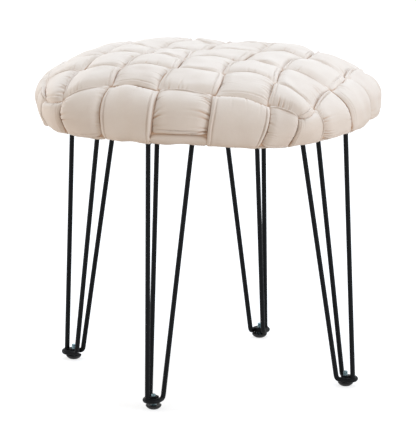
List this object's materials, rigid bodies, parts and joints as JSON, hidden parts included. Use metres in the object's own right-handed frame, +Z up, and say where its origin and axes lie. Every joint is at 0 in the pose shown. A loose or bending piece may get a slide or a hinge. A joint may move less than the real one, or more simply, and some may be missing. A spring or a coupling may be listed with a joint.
{
  "type": "vanity stool",
  "caption": "Low vanity stool with a rounded square seat woven from wide padded velvet straps, on black hairpin rod legs with screw-in levelling feet.",
  "frame": {"origin": "on the floor under the middle of the seat", "axes": "+Z up; the legs stand on the X and Y axes, with the front leg towards -Y, and the straps of the seat run along X and Y"},
  "size_m": [0.463, 0.463, 0.4705],
  "materials": {
    "velvet": "soft short pile",
    "black_paint": "satin powder coat",
    "stud_zinc": "zinc plated",
    "screw_zinc": "zinc plated",
    "pad_plastic": "matte",
    "plywood": "raw plywood",
    "foam": "open cell foam",
    "dust_cloth": "thin non-woven cloth"
  },
  "bodies": {
    "stool": {"dust_cover": "dust_cloth", "seat_board": "plywood", "foam_core": "foam", "ring_band": "velvet", "strap_x_1": "velvet", "strap_x_2": "velvet", "strap_x_3": "velvet", "strap_x_4": "velvet", "strap_x_5": "velvet", "strap_x_6": "velvet", "strap_y_1": "velvet", "strap_y_2": "velvet", "strap_y_3": "velvet", "strap_y_4": "velvet", "strap_y_5": "velvet", "strap_y_6": "velvet", "front_plate": "black_paint", "front_hairpin_rod": "black_paint", "front_outer_rod": "black_paint", "front_weld_nut": "black_paint", "front_screw_1": "screw_zinc", "front_screw_2": "screw_zinc", "front_screw_3": "screw_zinc", "front_screw_4": "screw_zinc", "right_plate": "black_paint", "right_hairpin_rod": "black_paint", "right_outer_rod": "black_paint", "right_weld_nut": "black_paint", "right_screw_1": "screw_zinc", "right_screw_2": "screw_zinc", "right_screw_3": "screw_zinc", "right_screw_4": "screw_zinc", "back_plate": "black_paint", "back_hairpin_rod": "black_paint", "back_outer_rod": "black_paint", "back_weld_nut": "black_paint", "back_screw_1": "screw_zinc", "back_screw_2": "screw_zinc", "back_screw_3": "screw_zinc", "back_screw_4": "screw_zinc", "left_plate": "black_paint", "left_hairpin_rod": "black_paint", "left_outer_rod": "black_paint", "left_weld_nut": "black_paint", "left_screw_1": "screw_zinc", "left_screw_2": "screw_zinc", "left_screw_3": "screw_zinc", "left_screw_4": "screw_zinc"},
    "front_leveller": {"front_stud": "stud_zinc", "front_pad": "pad_plastic"},
    "right_leveller": {"right_stud": "stud_zinc", "right_pad": "pad_plastic"},
    "back_leveller": {"back_stud": "stud_zinc", "back_pad": "pad_plastic"},
    "left_leveller": {"left_stud": "stud_zinc", "left_pad": "pad_plastic"}
  },
  "joints": [
    {"name": "front_leveller_screw", "type": "slide", "parent": "stool", "child": "front_leveller", "axis": [0, 0, -1], "range_m": [-0.004, 0.007]},
    {"name": "right_leveller_screw", "type": "slide", "parent": "stool", "child": "right_leveller", "axis": [0, 0, -1], "range_m": [-0.0007, 0.0103]},
    {"name": "back_leveller_screw", "type": "slide", "parent": "stool", "child": "back_leveller", "axis": [0, 0, -1], "range_m": [-0.0007, 0.0103]},
    {"name": "left_leveller_screw", "type": "slide", "parent": "stool", "child": "left_leveller", "axis": [0, 0, -1], "range_m": [-0.0007, 0.0103]}
  ]
}
